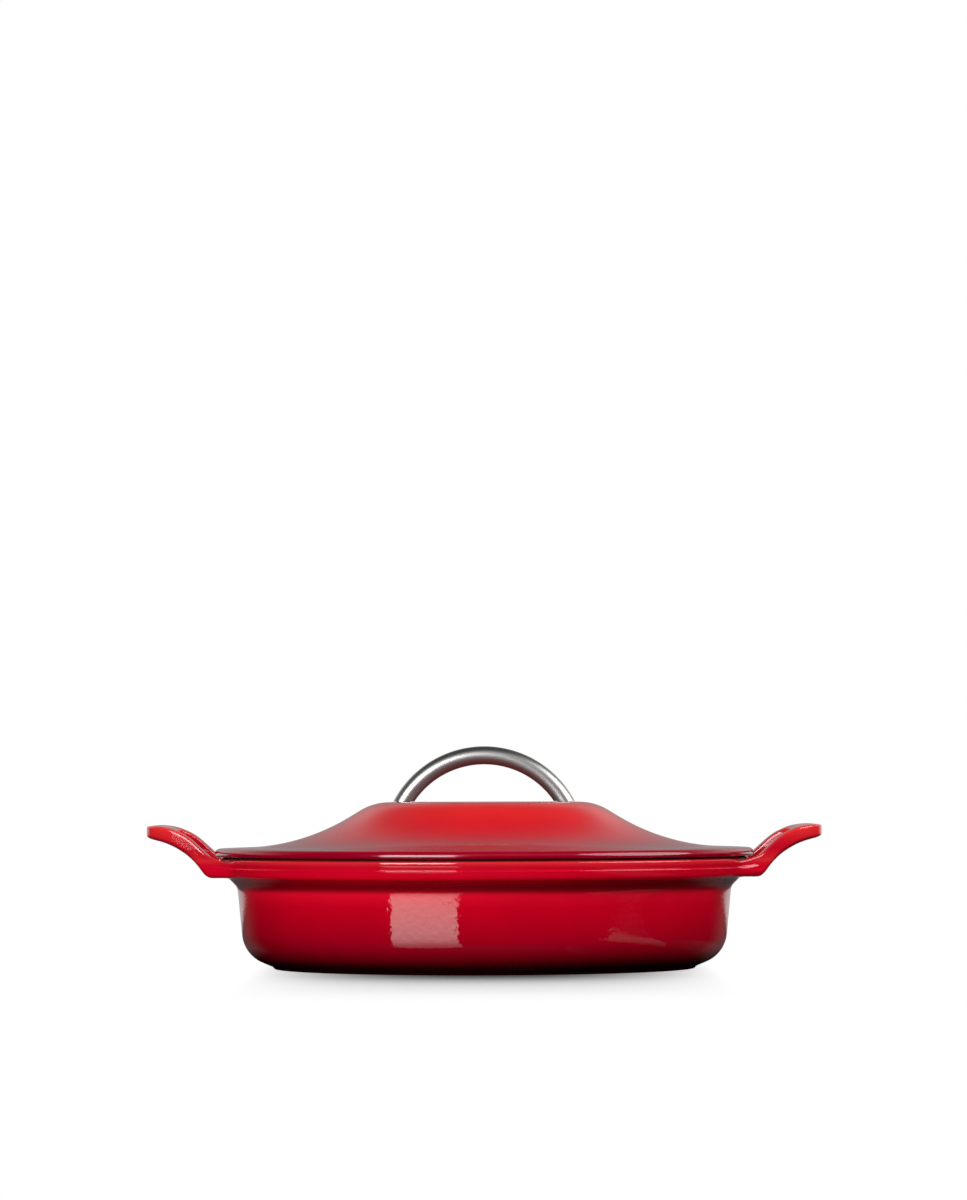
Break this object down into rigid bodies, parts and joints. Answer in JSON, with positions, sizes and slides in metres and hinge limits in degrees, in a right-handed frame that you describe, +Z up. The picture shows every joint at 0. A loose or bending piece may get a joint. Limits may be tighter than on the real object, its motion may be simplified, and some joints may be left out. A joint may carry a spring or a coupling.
{
  "type": "shallow casserole",
  "caption": "Round shallow casserole of enamelled cast iron with upswept loop handles and a lift-off lid carried by an arched steel rod, for oven or hob cooking.",
  "frame": {"origin": "on the table, under the middle of the pot", "axes": "+X along the line of the two loop handles, +Z up, -Y towards the side that the picture shows"},
  "size_m": [0.3848, 0.3104, 0.1272],
  "materials": {
    "pot_enamel": "glossy cherry-red enamel on cast iron, pale enamel inside",
    "lid_enamel": "glossy cherry-red enamel on cast iron, pale enamel underneath",
    "handle_steel": "stainless steel rod brushed along its length",
    "fixing_steel": "plain stainless steel, turned and stamped"
  },
  "bodies": {
    "pot": {"casserole_base": "pot_enamel"},
    "lid": {"lid": "lid_enamel", "lid_handle": "handle_steel", "left_flat_washer": "fixing_steel", "left_lock_washer": "fixing_steel", "left_handle_screw": "fixing_steel", "right_flat_washer": "fixing_steel", "right_lock_washer": "fixing_steel", "right_handle_screw": "fixing_steel"}
  },
  "joints": [
    {"name": "lid_lift", "type": "slide", "parent": "pot", "child": "lid", "axis": [0, 0, 1], "range_m": [0, 0.15]}
  ]
}
